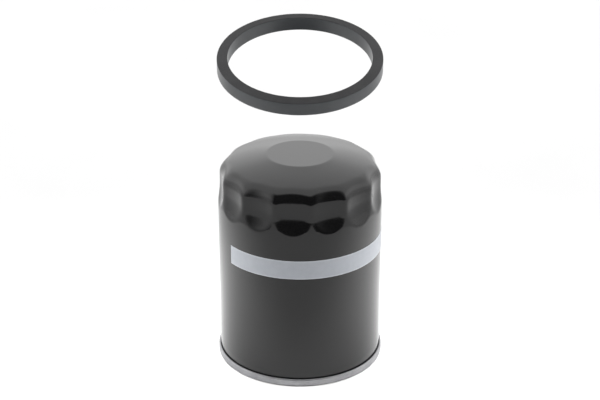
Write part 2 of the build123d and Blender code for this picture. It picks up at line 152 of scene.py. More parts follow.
THREAD_PITCH = 1.5
THREAD_MINOR_RADIUS = 9.188
THREAD_MAJOR_RADIUS = 10.0
THREAD_CHAMFER = 1.0
PLATE_THICKNESS = 3.0
PLATE_FOOT_RADIUS = 32.15
PLATE_STEP_LOW = 3.75
PLATE_STEP_TOP = 6.75
PLATE_STEP_RADIUS = 31.6
PLATE_FLOOR_RADIUS = 29.8
COLLAR_FOOT_RADIUS = 13.4
COLLAR_SHOULDER_Z = 8.4
COLLAR_RADIUS = 12.2
INLETS = 8
INLET_CIRCLE = 22.0
INLET_RADIUS = 3.75
INLET_CHAMFER_RADIUS = 5.25
INLET_EASED_RADIUS = 5.5
WELDS = 12
WELD_CIRCLE = 29.5
WELD_RADIUS = 1.4

VALVE_BORE = 12.25
VALVE_ROOT_RADIUS = 14.6
VALVE_SPLIT_RADIUS = 13.8
VALVE_SPLIT_Z = 9.8
VALVE_SPLIT_GAP = 0.02
LIP_THICKNESS = 0.9
LIP_WIDTH = 1.0

CAP_SHEET = 0.4
CAP_BEND = 0.6
CAP_RADIUS = 33.1
CAP_RIM = 4.2
LOWER_CAP_Z = 12.0
LOWER_CAP_BORE = 12.6
UPPER_CAP_BORE = 10.6
UPPER_CAP_COLLAR = 1.6

PLEATS = 44
PAPER = 0.5
PLEAT_TIP_RADIUS = 32.2
PLEAT_ROOT_RADIUS = 19.0
TIP_HALF_WIDTH = 1.0
ROOT_HALF_WIDTH = 0.55

SUPPORT_COIL_RADIUS = 12.6
SUPPORT_WIRE_RADIUS = 0.9
SUPPORT_TURNS = 5.5
VALVE_COIL_RADIUS = 5.6
VALVE_WIRE_RADIUS = 0.45
VALVE_TURNS = 7.0


# ---------------------------------------------------------------- mesh helpers

def finish_mesh(name, points, faces, sharp_degrees=40.0):
    """A smooth-shaded object from points in millimetres, with its normals facing out."""
    mesh = bpy.data.meshes.new(name)
    mesh.from_pydata((np.asarray(points) * MM).tolist(), [], faces)
    shell = bmesh.new()
    shell.from_mesh(mesh)
    bmesh.ops.recalc_face_normals(shell, faces=shell.faces)
    shell.to_mesh(mesh)
    shell.free()
    mesh.shade_smooth()
    mesh.set_sharp_from_angle(angle=math.radians(sharp_degrees))
    piece = bpy.data.objects.new(name, mesh)
    bpy.context.scene.collection.objects.link(piece)
    return piece


def loft(name, rings, closed=False, sharp_degrees=40.0):
    """Skin over rings of points, each ring joined to the next; open ends are fanned shut."""
    rings = np.asarray(rings, float)
    count, around = rings.shape[:2]
    index = np.arange(count * around).reshape(count, around)
    here = index if closed else index[:-1]
    above = np.roll(index, -1, axis=0) if closed else index[1:]
    quads = np.stack([here, np.roll(here, -1, axis=1), np.roll(above, -1, axis=1), above], axis=-1)
    faces = quads.reshape(-1, 4).tolist()
    points = rings.reshape(-1, 3)
    if not closed:
        ends = [rings[0].mean(axis=0), rings[-1].mean(axis=0)]
        points = np.vstack([points, ends])
        for ring, hub in ((index[0], count * around), (index[-1], count * around + 1)):
            faces += [[int(a), int(b), hub] for a, b in zip(ring, np.roll(ring, -1))]
    return finish_mesh(name, points, faces, sharp_degrees)


def round_axis(radius, angle, height):
    """Points from a radius, an angle and a height, each a number or a matching array."""
    return np.stack([radius * np.cos(angle), radius * np.sin(angle), height + 0 * angle], axis=-1)


def turned_rings(section, steps, offset=0.0, offset_angle=0.0):
    """Rings of points: a (radius, height) section turned about an upright line.

    The line is the filter's axis, or stands off it by an offset in the offset angle's direction.
    """
    section = np.asarray(section, float)
    rings = round_axis(section[:, 0:1], np.arange(steps) * TURN / steps, section[:, 1:2])
    rings[..., 0] += offset * math.cos(offset_angle)
    rings[..., 1] += offset * math.sin(offset_angle)
    return rings


def turned(name, section, steps=192, sharp_degrees=40.0):
    """A closed (radius, height) section turned into a solid ring."""
    return loft(name, turned_rings(section, steps), closed=True, sharp_degrees=sharp_degrees)


def arc(centre, radius, start, end, steps):
    """Points on a circular arc, angles in radians."""
    angle = np.linspace(start, end, steps)
    return np.stack([centre[0] + radius * np.cos(angle), centre[1] + radius * np.sin(angle)], axis=-1)


def rounded(corners, radii, closed=True, steps=6):
    """A polygon or polyline with its corners rounded, all alike or each to its own radius."""
    corners = [np.asarray(corner, float) for corner in corners]
    if not hasattr(radii, "__len__"):
        radii = [radii] * len(corners)
    outline = []
    for place, (corner, radius) in enumerate(zip(corners, radii)):
        into = corner - corners[place - 1]
        out = corners[(place + 1) % len(corners)] - corner
        into = into / np.linalg.norm(into)
        out = out / np.linalg.norm(out)
        turn = math.atan2(into[0] * out[1] - into[1] * out[0], float(into @ out))
        open_end = not closed and place in (0, len(corners) - 1)
        if open_end or radius <= 0 or abs(turn) < 1e-3:
            outline.append(corner)
            continue
        start = corner - into * radius * math.tan(abs(turn) / 2)
        normal = np.array([-into[1], into[0]]) * math.copysign(1.0, turn)
        centre = start + normal * radius
        first = math.atan2(*(start - centre)[::-1])
        outline.extend(arc(centre, radius, first, first + turn, steps))
    return np.array(outline)


def moved_sideways(line, distance):
    """A polyline moved to its left by a distance, with mitred corners."""
    line = np.asarray(line, float)
    runs = np.diff(line, axis=0)
    runs /= np.linalg.norm(runs, axis=1)[:, None]
    normals = np.stack([-runs[:, 1], runs[:, 0]], axis=-1)
    before = np.vstack([normals[:1], normals])
    after = np.vstack([normals, normals[-1:]])
    middle = before + after
    middle /= np.linalg.norm(middle, axis=1)[:, None]
    return line + middle * (distance / np.sum(middle * before, axis=1))[:, None]


def sheet_section(corners, bends, thickness, steps=6):
    """Closed section of a bent sheet, from its centre line's corners and mean bend radii."""
    centre_line = rounded(corners, bends, closed=False, steps=steps)
    left = moved_sideways(centre_line, thickness / 2)
    right = moved_sideways(centre_line, -thickness / 2)
    return np.vstack([left, right[::-1]])


def coil(name, low, high, coil_radius, wire_radius, turns):
    """Coil spring with closed, ground-flat ends, between two heights."""
    steps_per_turn = 48
    around = 14
    even_share = 0.35
    share = np.linspace(0.0, 1.0, int(turns * steps_per_turn))[:, None]
    eased = share * share * (3 - 2 * share)
    rise = even_share * share + (1 - even_share) * eased
    middle = low + wire_radius + (high - low - 2 * wire_radius) * rise
    section = np.arange(around) * TURN / around
    radius = coil_radius + wire_radius * np.cos(section)
    height = middle + wire_radius * np.sin(section)
    grind = 0.35 * wire_radius
    height = low + (height - low - grind) * (high - low) / (high - low - 2 * grind)
    height = np.clip(height, low, high)
    return loft(name, round_axis(radius, share * turns * TURN, height), sharp_degrees=60.0)


# ---------------------------------------------------------------- the can

def crown_points(steps):
    """The gently falling crown between the flat spot and the shoulder, a smooth cubic."""
    share = np.linspace(0.0, 1.0, steps)[:, None]
    start = np.array([CROWN_RADIUS, CAN_TOP])
    end = np.array(CROWN_EDGE)
    span = np.linalg.norm(end - start)
    leave = span * np.array([math.cos(CROWN_START_SLOPE), -math.sin(CROWN_START_SLOPE)])
    arrive = span * np.array([math.cos(CROWN_END_SLOPE), -math.sin(CROWN_END_SLOPE)])
    blend = 3 * share**2 - 2 * share**3
    ends = (1 - blend) * start + blend * end
    return ends + (share**3 - 2 * share**2 + share) * leave + (share**3 - share**2) * arrive


def can_blank():
    """Outer line of the can before fluting, from near the pole to just above the seam."""
    row_step = 0.3
    flutes_end = FLUTE_FOOT_Z - 2.0
    wall_end = SEAM_HEIGHT + 1.1
    flat = [(radius, CAN_TOP) for radius in FLAT_RADII]
    centre = (NECK_RADIUS - SHOULDER_ARC, SHOULDER_Z)
    shoulder = arc(centre, SHOULDER_ARC, math.pi / 2 - CROWN_END_SLOPE, 0.0, 40)
    neck = [(NECK_RADIUS, height) for height in np.arange(SHOULDER_Z - row_step, NECK_HIGH, -row_step)]
    widening = np.linspace((NECK_RADIUS, NECK_HIGH), (CAN_RADIUS, NECK_LOW), 12)
    feet = [(CAN_RADIUS, height) for height in np.arange(NECK_LOW - row_step, flutes_end, -row_step)]
    plain = [(CAN_RADIUS, height) for height in np.linspace(flutes_end - 0.2, wall_end, 26)]
    return np.vstack([flat, crown_points(26)[1:], shoulder[1:], neck, widening, feet, plain])


def smooth_max(first, second, blend):
    """The larger of two values, rounded over where they are close."""
    near = np.maximum(blend - np.abs(first - second), 0.0)
    return np.maximum(first, second) + near * near / (4 * blend)


def scoop_distance(radius, angle, height):
    """Distance outside the round tool that presses a flute centred on angle zero."""
    axis_radius = FLUTE_FLOOR_RADIUS + SCOOP_RADIUS
    below = np.clip(FLUTE_RAMP_TOP_Z - height, 0.0, FLUTE_FOOT_HEIGHT + FLUTE_RUN_OUT)
    foot_inset = FLUTE_FOOT_ARC - np.sqrt(FLUTE_FOOT_ARC**2 - below**2)
    arc_top = FLUTE_SHOULDER_ARC * math.sin(FLUTE_SHOULDER_SWEEP)
    above = np.clip(height - FLUTE_SHOULDER_Z, 0.0, arc_top)
    arc_inset = FLUTE_SHOULDER_ARC - np.sqrt(FLUTE_SHOULDER_ARC**2 - above**2)
    past_arc = np.maximum(height - FLUTE_SHOULDER_Z - arc_top, 0.0)
    lip_inset = past_arc * math.tan(FLUTE_SHOULDER_SWEEP)
    tool = SCOOP_RADIUS - foot_inset + arc_inset + lip_inset
    foot_slope = below / np.sqrt(FLUTE_FOOT_ARC**2 - below**2)
    slope = foot_slope + above / np.sqrt(FLUTE_SHOULDER_ARC**2 - above**2)
    to_axis = np.hypot(radius * np.cos(angle) - axis_radius, radius * np.sin(angle))
    return (to_axis - tool) / np.sqrt(1 + slope**2)


def pressed_depth(blank, inward, angle):
    """How far each point of the blank is pressed in to lie on the fluted surface."""
    pitch = TURN / FLUTES
    local = (angle - FLUTE_FIRST_ANGLE + pitch / 2) % pitch - pitch / 2
    neighbour = local - np.copysign(pitch, local)
    radius, height = blank[:, 0:1], blank[:, 1:2]
    soft = np.interp(height, [FLUTE_FOOT_Z, NECK_HIGH], [FOOT_SOFTENING, CREST_SOFTENING])
    low = np.zeros((len(blank), len(angle)))
    high = low + DEEPEST_PRESS
    halvings = 26
    for _ in range(halvings):
        depth = (low + high) / 2
        new_radius = radius + inward[:, 0:1] * depth
        new_height = height + inward[:, 1:2] * depth
        inside = smooth_max(-depth, -scoop_distance(new_radius, local, new_height), soft)
        inside = smooth_max(inside, -scoop_distance(new_radius, neighbour, new_height), soft)
        low = np.where(inside > 0, depth, low)
        high = np.where(inside > 0, high, depth)
    return np.where(high < 1e-4, 0.0, high)


def make_can():
    """Drawn can: dome, pressed flutes and wall, with the hooked edge that the seam holds."""
    columns = FLUTES * 30
    blank = can_blank()
    tangent = np.gradient(blank, axis=0)
    tangent /= np.linalg.norm(tangent, axis=1)[:, None]
    inward = np.stack([tangent[:, 1], -tangent[:, 0]], axis=-1)
    inward[:len(FLAT_RADII)] = (0.0, -1.0)
    angle = np.arange(columns) * TURN / columns
    depth = pressed_depth(blank, inward, angle)
    radius = blank[:, 0:1] + inward[:, 0:1] * depth
    height = blank[:, 1:2] + inward[:, 1:2] * depth
    inner_rows = np.r_[0:len(blank):3, len(blank) - 1]
    inner_radius = radius[inner_rows] + inward[inner_rows, 0:1] * SHEET
    inner_height = height[inner_rows] + inward[inner_rows, 1:2] * SHEET
    body = SEAM_RADIUS - 3 * SEAM_PITCH
    hook = SEAM_RADIUS - SEAM_PITCH
    hook_low = SHEET + SEAM_PITCH
    hook_top = SEAM_HEIGHT - SEAM_PITCH - HOOK_SHORTFALL
    tuck_top = SEAM_HEIGHT + 0.3
    edge = rounded(
        [(body, tuck_top), (body, hook_low + SHEET), (hook - SHEET, hook_low + SHEET),
         (hook - SHEET, hook_top), (hook, hook_top), (hook, hook_low), (body - SHEET, hook_low),
         (body - SHEET, tuck_top)],
        [0, 0.05, 0.05, 0.1, 0.1, 0.3, 0.3, 0], closed=False, steps=4)
    whole_radius = np.vstack([radius, np.repeat(edge[:, 0:1], columns, axis=1), inner_radius[::-1]])
    whole_height = np.vstack([height, np.repeat(edge[:, 1:2], columns, axis=1), inner_height[::-1]])
    return loft("can_body", round_axis(whole_radius, angle, whole_height), sharp_degrees=75.0)


# ---------------------------------------------------------------- seam, gasket, label, base

def make_seam():
    """Rolled seam and gasket groove: one bent sheet, turned round the axis."""
    half = SHEET / 2
    hook = SEAM_RADIUS - 2 * SEAM_PITCH - half
    outer = SEAM_RADIUS - half
    groove = SEAM_RADIUS - 4 * SEAM_PITCH - half
    groove_floor = GROOVE_FLOOR_Z + half
    step = GROOVE_INNER_RADIUS - half
    flange = FLANGE_Z + half
    corners = [(hook, HOOK_END_Z), (hook, SEAM_HEIGHT - half), (outer, SEAM_HEIGHT - half),
               (outer, half), (groove, half), (groove, groove_floor), (step, groove_floor),
               (step, flange), (FLANGE_INNER_RADIUS, flange)]
    bends = [0, 0.3, 0.42, 0.6, 0.5, 0.4, 0.4, 0.4, 0]
    return turned("rolled_seam", sheet_section(corners, bends, SHEET, steps=8), steps=288)


def make_gasket():
    """Square-cut ring with eased edges, drawn off and tipped towards the front."""
    longest_run = 0.6
    corners = [(GASKET_INNER, 0.0), (GASKET_OUTER, 0.0), (GASKET_OUTER, GASKET_OUTER_HEIGHT),
               (GASKET_INNER, GASKET_INNER_HEIGHT)]
    outline = rounded(corners, GASKET_EDGE, steps=5)
    section = []
    for start, end in zip(outline, np.roll(outline, -1, axis=0)):
        runs = max(1, int(np.linalg.norm(end - start) / longest_run))
        section += [start + (end - start) * run / runs for run in range(runs)]
    x, y, z = np.moveaxis(turned_rings(section, 288), -1, 0)
    tipped = np.stack([
        x,
        y * math.cos(GASKET_TIP) - z * math.sin(GASKET_TIP),
        y * math.sin(GASKET_TIP) + z * math.cos(GASKET_TIP) + GASKET_LIFT,
    ], axis=-1)
    return loft("gasket_ring", tipped, closed=True)


def make_label():
    """Thin blank strip bent round the wall."""
    levels = np.linspace(LABEL_LOW, LABEL_HIGH, 10)
    outer = np.full(len(levels), CAN_RADIUS + LABEL_THICKNESS)
    inner = np.full(len(levels), CAN_RADIUS + GLUE_GAP)
    angle = LABEL_START + LABEL_SWEEP * np.linspace(0.0, 1.0, 181)
    rings = round_axis(np.hstack([outer, inner]), angle[:, None], np.hstack([levels, levels[::-1]]))
    return loft("label_band", rings)


def thread_radius(height, angle):
    """Wall radius of the thread in the base plate, with a chamfer at each mouth."""
    crest_end = 0.25
    root_start = 0.5625
    root_end = 0.6875
    turn_share = (height / THREAD_PITCH - angle / TURN) % 1.0
    depth = np.interp(turn_share, [crest_end, root_start, root_end, 1.0], [0.0, 1.0, 1.0, 0.0])
    wall = THREAD_MINOR_RADIUS + (THREAD_MAJOR_RADIUS - THREAD_MINOR_RADIUS) * depth
    mouth = THREAD_MINOR_RADIUS + THREAD_CHAMFER - np.minimum(height - PLATE_LOW, PLATE_TOP - height)
    return np.maximum(wall, mouth)


def make_base_plate():
    """Stepped plate with a real thread and eased oil inlets."""
    steps = 256
    mouth = THREAD_MINOR_RADIUS + THREAD_CHAMFER
    floor = PLATE_LOW + PLATE_THICKNESS
    line = rounded(
        [(mouth, PLATE_LOW), (PLATE_FOOT_RADIUS, PLATE_LOW), (PLATE_FOOT_RADIUS, PLATE_STEP_LOW),
         (PLATE_RADIUS, PLATE_STEP_LOW), (PLATE_RADIUS, PLATE_STEP_TOP), (PLATE_STEP_RADIUS, PLATE_STEP_TOP),
         (PLATE_FLOOR_RADIUS, floor), (COLLAR_FOOT_RADIUS, floor), (COLLAR_FOOT_RADIUS, COLLAR_SHOULDER_Z),
         (COLLAR_RADIUS, COLLAR_SHOULDER_Z), (COLLAR_RADIUS, PLATE_TOP), (mouth, PLATE_TOP)],
        [0, 0.25, 0.05, 0.3, 0.5, 1.2, 1.2, 0.8, 0.15, 0.1, 0.3, 0], closed=False)
    angle = np.arange(steps) * TURN / steps
    height = np.linspace(PLATE_TOP, PLATE_LOW, 118)[1:-1, None]
    bore = round_axis(thread_radius(height, angle), angle, height)
    plate = loft("base_plate", np.vstack([turned_rings(line, steps), bore]), closed=True, sharp_degrees=50.0)
    below = PLATE_LOW - 2.0
    above = floor + 1.6
    cutter_line = [(0.01, below), (INLET_CHAMFER_RADIUS, below), (INLET_RADIUS, PLATE_LOW + 0.4),
                   (INLET_RADIUS, floor - 0.3), (INLET_EASED_RADIUS, above), (0.01, above)]
    for inlet in range(INLETS):
        turn = (inlet + 0.5) * TURN / INLETS
        cutter = loft("inlet_cutter", turned_rings(cutter_line, 40, INLET_CIRCLE, turn))
        cut = plate.modifiers.new("inlet", "BOOLEAN")
        cut.object = cutter
        cut.solver = "EXACT"
        bake_modifiers(plate)
        bpy.data.objects.remove(cutter)
    plate.data.set_sharp_from_angle(angle=math.radians(35.0))
    return plate


def bake_modifiers(piece):
    """Apply a piece's modifiers to its mesh."""
    graph = bpy.context.evaluated_depsgraph_get()
    baked = bpy.data.meshes.new_from_object(piece.evaluated_get(graph))
    piece.modifiers.clear()
    piece.data = baked
    piece.data.name = piece.name


def make_welds():
    """Weld nuggets, each a shallow dimpled button, as one piece."""
    dimple = WELD_RADIUS / 4
    line = [(dimple, WELD_LOW + 0.12), (0.8, WELD_LOW + 0.06), (1.15, WELD_LOW),
            (1.36, WELD_LOW + 0.06), (WELD_RADIUS, WELD_LOW + 0.14), (WELD_RADIUS, WELD_HIGH),
            (dimple, WELD_HIGH)]
    points, faces = [], []
    for weld in range(WELDS):
        button = loft("button", turned_rings(line, 24, WELD_CIRCLE, weld * TURN / WELDS))
        base = len(points)
        points += [tuple(vertex.co / MM) for vertex in button.data.vertices]
        faces += [[base + corner for corner in face.vertices] for face in button.data.polygons]
        bpy.data.objects.remove(button)
    return finish_mesh("weld_nuggets", points, faces)


# ---------------------------------------------------------------- inside

def make_anti_drain():
    """Silicone diaphragm in two pieces: the root stays on the collar, the skirt lifts."""
    root_line = rounded(
        [(VALVE_BORE, COLLAR_SHOULDER_Z), (VALVE_BORE, VALVE_TOP), (VALVE_ROOT_RADIUS, VALVE_TOP),
         (VALVE_ROOT_RADIUS, VALVE_SPLIT_Z), (VALVE_SPLIT_RADIUS, COLLAR_SHOULDER_Z)],
        0.3)
    skirt_line = rounded(
        [(VALVE_SPLIT_RADIUS, COLLAR_SHOULDER_Z + VALVE_SPLIT_GAP),
         (VALVE_ROOT_RADIUS - 0.05, VALVE_SPLIT_Z - VALVE_SPLIT_GAP),
         (LIP_RADIUS, VALVE_LOW + LIP_THICKNESS), (LIP_RADIUS, VALVE_LOW),
         (LIP_RADIUS - LIP_WIDTH, VALVE_LOW)],
        [0.1, 0.1, 0.35, 0.2, 0.3])
    root = turned("anti_drain_root", root_line, steps=128)
    skirt = turned("anti_drain_skirt", skirt_line, steps=160)
    return root, skirt


def make_media():
    """Pleated paper with rounded folds, as one closed ring."""
    pitch = TURN / PLEATS
    outer = PLEAT_TIP_RADIUS - PAPER / 2
    inner = PLEAT_ROOT_RADIUS + PAPER / 2
    tip_turn = TIP_HALF_WIDTH / outer
    root_turn = pitch / 2 - ROOT_HALF_WIDTH / inner
    one_fold = [
        (inner, -root_turn), (inner + ROOT_HALF_WIDTH, -root_turn),
        (outer - TIP_HALF_WIDTH, -tip_turn), (outer, -tip_turn),
        (outer, tip_turn), (outer - TIP_HALF_WIDTH, tip_turn),
        (inner + ROOT_HALF_WIDTH, root_turn), (inner, root_turn),
    ]
    loop = np.array([
        (radius * math.cos(turn + fold * pitch), radius * math.sin(turn + fold * pitch))
        for fold in range(PLEATS)
        for radius, turn in one_fold
    ])
    for _ in range(2):
        ahead = np.roll(loop, -1, axis=0)
        loop = np.stack([loop * 0.75 + ahead * 0.25, loop * 0.25 + ahead * 0.75], axis=1).reshape(-1, 2)
    tangent = np.roll(loop, -1, axis=0) - np.roll(loop, 1, axis=0)
    tangent /= np.linalg.norm(tangent, axis=1)[:, None]
    normal = np.stack([tangent[:, 1], -tangent[:, 0]], axis=-1)
    levels = np.linspace(MEDIA_LOW, MEDIA_HIGH, 15)
    rings = []
    for face, heights in ((loop + normal * PAPER / 2, levels), (loop - normal * PAPER / 2, levels[::-1])):
        rings += [np.column_stack([face, np.full(len(face), height)]) for height in heights]
    return loft("pleated_paper", rings, closed=True, sharp_degrees=60.0)


def make_end_caps():
    """Pressed caps of the element, with rounded bends."""
    lower_level = LOWER_CAP_Z + CAP_SHEET / 2
    upper_level = ELEMENT_TOP - CAP_SHEET / 2
    lower_line = [(LOWER_CAP_BORE, lower_level), (CAP_RADIUS, lower_level),
                  (CAP_RADIUS, LOWER_CAP_Z + CAP_RIM)]
    upper_line = [(UPPER_CAP_BORE, ELEMENT_TOP + UPPER_CAP_COLLAR), (UPPER_CAP_BORE, upper_level),
                  (CAP_RADIUS, upper_level), (CAP_RADIUS, ELEMENT_TOP - CAP_RIM)]
    return [turned(name, sheet_section(line, CAP_BEND, CAP_SHEET), steps=128)
            for name, line in (("lower_cap", lower_line), ("upper_cap", upper_line))]


# ---------------------------------------------------------------- materials

class Shader:
    """A small helper for building one procedural material."""

    def __init__(self, name):
        self.material = bpy.data.materials.new(name)
        self.material.use_nodes = True
        self.tree = self.material.node_tree
        self.surface = self.tree.nodes["Principled BSDF"]
        coordinates = self.tree.nodes.new("ShaderNodeTexCoord")
        self.place = coordinates.outputs["Object"]

    def node(self, kind, **settings):
        made = self.tree.nodes.new(kind)
        for key, value in settings.items():
            setattr(made, key, value)
        return made

    def link(self, source, target):
        self.tree.links.new(source, target)

    def stretched(self, scale):
        mapping = self.node("ShaderNodeMapping")
        mapping.inputs["Scale"].default_value = scale
        self.link(self.place, mapping.inputs["Vector"])
        return mapping.outputs["Vector"]

    def noise(self, scale, detail=4.0, roughness=0.6, vector=None):
        made = self.node("ShaderNodeTexNoise")
        made.inputs["Scale"].default_value = scale
        made.inputs["Detail"].default_value = detail
        made.inputs["Roughness"].default_value = roughness
        self.link(vector or self.place, made.inputs["Vector"])
        return made.outputs["Fac"]

    def maths(self, operation, value, second=0.0):
        made = self.node("ShaderNodeMath", operation=operation)
        made.inputs[1].default_value = second
        self.link(value, made.inputs[0])
        return made.outputs[0]

    def spread(self, value, low, high, out_low, out_high):
        made = self.node("ShaderNodeMapRange")
        for index, number in enumerate((low, high, out_low, out_high), start=1):
            made.inputs[index].default_value = number
        self.link(value, made.inputs[0])
        return made.outputs[0]

    def shades(self, value, dark, light, low=0.3, high=0.7):
        """A colour that goes from dark to light while the value goes from low to high."""
        made = self.node("ShaderNodeValToRGB")
        for element, position, colour in zip(made.color_ramp.elements, (low, high), (dark, light)):
            element.position = position
            element.color = (*colour, 1.0)
        self.link(value, made.inputs["Fac"])
        return made.outputs["Color"]

    def mix(self, share, first, second):
        made = self.node("ShaderNodeMix", data_type="RGBA")
        colours = [socket for socket in made.inputs if socket.type == "RGBA"]
        for socket, value in zip(colours, (first, second)):
            if isinstance(value, tuple):
                socket.default_value = (*value, 1.0)
            else:
                self.link(value, socket)
        self.link(share, made.inputs["Factor"])
        return [socket for socket in made.outputs if socket.type == "RGBA"][0]

    def bump(self, height, strength, distance):
        made = self.node("ShaderNodeBump")
        made.inputs["Strength"].default_value = strength
        made.inputs["Distance"].default_value = distance
        self.link(height, made.inputs["Height"])
        if self.surface.inputs["Normal"].links:
            self.link(self.surface.inputs["Normal"].links[0].from_socket, made.inputs["Normal"])
        self.link(made.outputs["Normal"], self.surface.inputs["Normal"])

    def set(self, **values):
        for key, value in values.items():
            socket = self.surface.inputs[key.replace("_", " ")]
            if isinstance(value, (int, float)):
                socket.default_value = value
            else:
                self.link(value, socket)


def black_paint():
    """Satin-gloss black enamel with a faint orange peel and slightly uneven gloss."""
    paint = Shader("black_paint")
    broad = paint.noise(60.0, detail=3.0)
    fine = paint.noise(1500.0, detail=2.0)
    paint.set(Base_Color=paint.shades(broad, (0.0035, 0.0035, 0.0038), (0.0050, 0.0050, 0.0053)))
    paint.set(Roughness=paint.spread(broad, 0.3, 0.7, 0.11, 0.15), Specular_IOR_Level=0.475)
    paint.bump(fine, strength=0.06, distance=0.00003)
    return paint.material


def bare_steel():
    """Bare zinc-grey sheet with rolling streaks round the seam and dull patches."""
    steel = Shader("bare_seam_steel")
    streak = steel.noise(900.0, detail=5.0, vector=steel.stretched((0.05, 0.05, 1.6)))
    patch = steel.noise(140.0, detail=6.0, roughness=0.7)
    colour = steel.shades(patch, (0.27, 0.27, 0.28), (0.36, 0.36, 0.37), low=0.32, high=0.68)
    colour = steel.mix(steel.spread(streak, 0.35, 0.75, 0.0, 0.35), colour, (0.19, 0.19, 0.20))
    steel.set(Base_Color=colour, Metallic=0.9, Roughness=steel.spread(patch, 0.3, 0.7, 0.46, 0.32))
    steel.bump(streak, strength=0.15, distance=0.00004)
    steel.bump(patch, strength=0.12, distance=0.00008)
    return steel.material


def black_rubber():
    """Nitrile rubber: smooth moulded walls, matte cut faces, a fine grain and dusty specks."""
    rubber = Shader("black_rubber")
    grain = rubber.noise(2600.0, detail=3.0, roughness=0.7)
    dust = rubber.noise(5200.0, detail=1.0)
    broad = rubber.noise(90.0, detail=3.0)
    facing = rubber.node("ShaderNodeVectorMath", operation="DOT_PRODUCT")
    rubber.link(rubber.node("ShaderNodeNewGeometry").outputs["Normal"], facing.inputs[0])
    facing.inputs[1].default_value = (0.0, -math.sin(GASKET_TIP), math.cos(GASKET_TIP))
    along_axis = rubber.maths("ABSOLUTE", facing.outputs["Value"])
    cut_face = rubber.spread(along_axis, 0.6, 0.85, 0.0, 1.0)
    wall_colour = rubber.shades(broad, (0.033, 0.037, 0.041), (0.040, 0.044, 0.048))
    face_colour = rubber.shades(broad, (0.032, 0.032, 0.033), (0.040, 0.040, 0.041))
    face_colour = rubber.mix(rubber.spread(dust, 0.62, 0.72, 0.0, 0.5), face_colour, (0.10, 0.10, 0.105))
    rubber.set(Base_Color=rubber.mix(cut_face, wall_colour, face_colour))
    rubber.set(Roughness=rubber.spread(cut_face, 0.0, 1.0, 0.32, 0.75))
    rubber.set(Specular_IOR_Level=rubber.spread(cut_face, 0.0, 1.0, 0.5, 0.12))
    rubber.bump(grain, strength=0.25, distance=0.00004)
    return rubber.material


def grey_label():
    """Blank cool-grey strip with a paler line along both edges."""
    strip = Shader("grey_label")
    split = strip.node("ShaderNodeSeparateXYZ")
    strip.link(strip.place, split.inputs[0])
    middle = (LABEL_LOW + LABEL_HIGH) / 2 * MM
    half = (LABEL_HIGH - LABEL_LOW) / 2 * MM
    away = strip.maths("ABSOLUTE", strip.maths("SUBTRACT", split.outputs["Z"], middle))
    edge = strip.spread(away, half * 0.86, half * 0.96, 0.0, 0.55)
    mottle = strip.noise(420.0, detail=4.0)
    colour = strip.shades(mottle, (0.355, 0.375, 0.41), (0.385, 0.405, 0.44))
    strip.set(Base_Color=strip.mix(edge, colour, (0.56, 0.58, 0.61)), Roughness=0.42)
    strip.bump(strip.noise(3000.0, detail=2.0), strength=0.05, distance=0.00002)
    return strip.material


def worn_metal(name, dark, light, roughness, streaks=(1.0, 1.0, 1.0)):
    """Plain metal with patches, streaks and uneven gloss."""
    metal = Shader(name)
    patch = metal.noise(160.0, detail=6.0, roughness=0.65)
    streak = metal.noise(1100.0, detail=4.0, vector=metal.stretched(streaks))
    colour = metal.shades(patch, dark, light)
    metal.set(Base_Color=metal.mix(metal.spread(streak, 0.3, 0.8, 0.0, 0.3), colour, dark), Metallic=0.95)
    metal.set(Roughness=metal.spread(patch, 0.3, 0.7, roughness + 0.1, roughness - 0.05))
    metal.bump(streak, strength=0.12, distance=0.00003)
    return metal.material


def soft_solid(name, dark, light, roughness, grain_scale=1200.0, subsurface=0.0):
    """Rubber, silicone, adhesive or paper: a mottled colour with a fine grain."""
    solid = Shader(name)
    patch = solid.noise(120.0, detail=4.0)
    grain = solid.noise(grain_scale, detail=4.0, roughness=0.7)
    solid.set(Base_Color=solid.shades(patch, dark, light), Subsurface_Weight=subsurface)
    solid.set(Roughness=solid.spread(grain, 0.3, 0.7, roughness - 0.06, roughness + 0.08))
    solid.bump(grain, strength=0.25, distance=0.00005)
    return solid.material


def make_materials():
    """Every material, by the name of its slot in the record."""
    return {
        "black_paint": black_paint(),
        "bare_seam_steel": bare_steel(),
        "black_rubber": black_rubber(),
        "grey_label": grey_label(),
        "seam_compound": soft_solid("seam_compound", (0.10, 0.09, 0.08), (0.15, 0.14, 0.12), 0.6),
        "weld_steel": worn_metal("weld_steel", (0.16, 0.13, 0.11), (0.36, 0.34, 0.33), 0.38),
        "plate_steel": worn_metal("plate_steel", (0.26, 0.26, 0.27), (0.46, 0.46, 0.46), 0.34),
        "silicone": soft_solid("silicone", (0.42, 0.05, 0.02), (0.52, 0.08, 0.03), 0.42, subsurface=0.1),
        "cap_steel": worn_metal("cap_steel", (0.40, 0.40, 0.41), (0.60, 0.60, 0.61), 0.3),
        "bond": soft_solid("bond", (0.36, 0.17, 0.05), (0.48, 0.25, 0.09), 0.35, subsurface=0.1),
        "filter_paper": soft_solid("filter_paper", (0.60, 0.46, 0.22), (0.70, 0.56, 0.30), 0.85,
                                   grain_scale=2600.0),
        "valve_steel": worn_metal("valve_steel", (0.28, 0.28, 0.29), (0.50, 0.50, 0.51), 0.3),
        "spring_steel": worn_metal("spring_steel", (0.12, 0.12, 0.13), (0.28, 0.28, 0.29), 0.28,
                                   streaks=(0.3, 0.3, 3.0)),
    }


# ---------------------------------------------------------------- putting it together

def dress(piece, slot_name, body, *nodes):
    """Give a new piece its material, its body and the CAD nodes that it stands for."""
    piece.data.materials.clear()
    piece.data.materials.append(materials[slot_name])
    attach(piece, body)
    if nodes:
        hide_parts(*nodes)
    return piece


